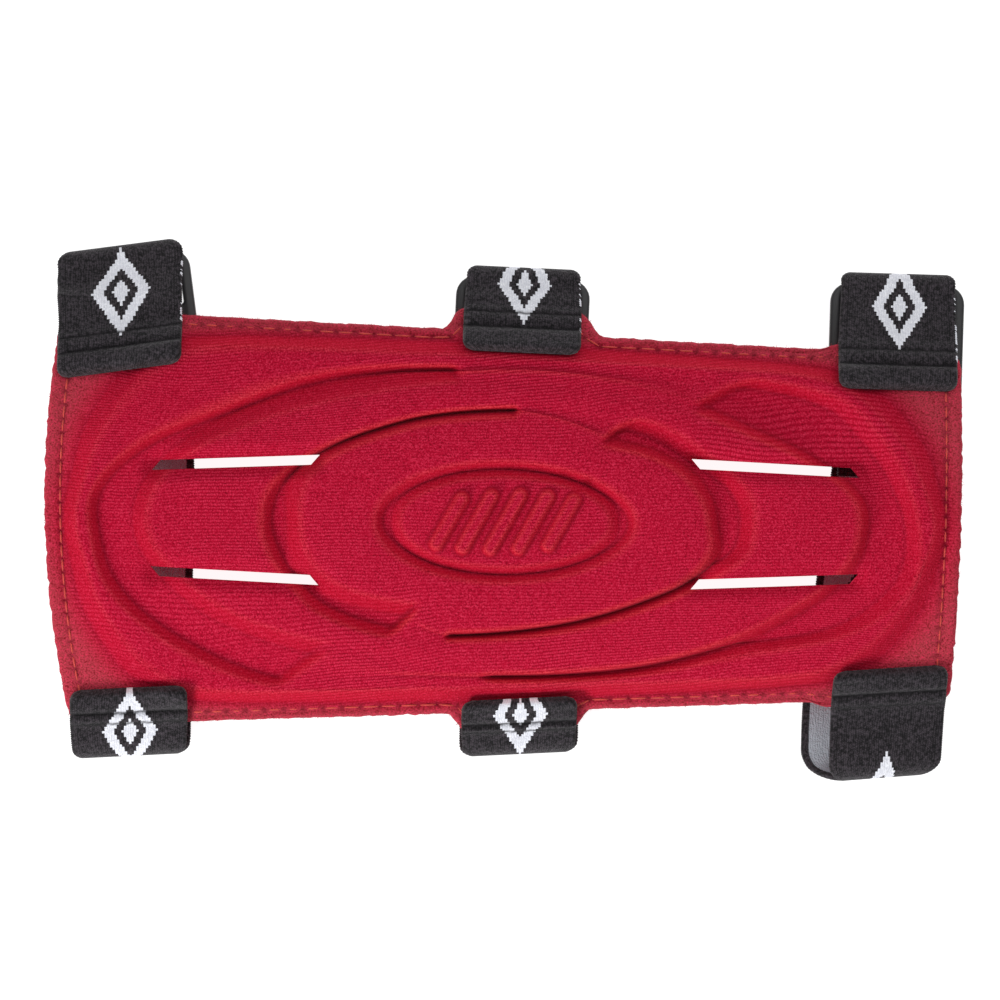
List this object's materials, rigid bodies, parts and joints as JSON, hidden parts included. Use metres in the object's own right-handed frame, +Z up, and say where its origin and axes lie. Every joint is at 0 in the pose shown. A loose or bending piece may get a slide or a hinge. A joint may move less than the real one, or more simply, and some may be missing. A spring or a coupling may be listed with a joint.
{
  "type": "arm guard",
  "caption": "Archery arm guard: a long moulded foam panel with pinwheel relief and slots, held on by elastic straps that run through flat plastic sliders.",
  "frame": {"origin": "bottom centre of the box around the guard, on the surface that it lies on", "axes": "+X from the wide elbow end to the narrow wrist end, +Y towards the edge that carries the sliders, +Z up through the moulded face"},
  "size_m": [0.191, 0.112, 0.0225],
  "materials": {
    "red_knit": "matt knit bonded to moulded foam",
    "black_elastic": "ribbed woven elastic tape with a white woven motif",
    "black_plastic": "satin moulded plastic"
  },
  "bodies": {
    "root": {"moulded_panel": "red_knit", "tab_left": "black_elastic", "tab_middle": "black_elastic", "tab_right": "black_elastic", "slider_left": "black_plastic", "slider_middle": "black_plastic", "slider_right": "black_plastic", "strap_left": "black_elastic", "strap_middle": "black_elastic", "strap_right": "black_elastic"}
  },
  "joints": []
}
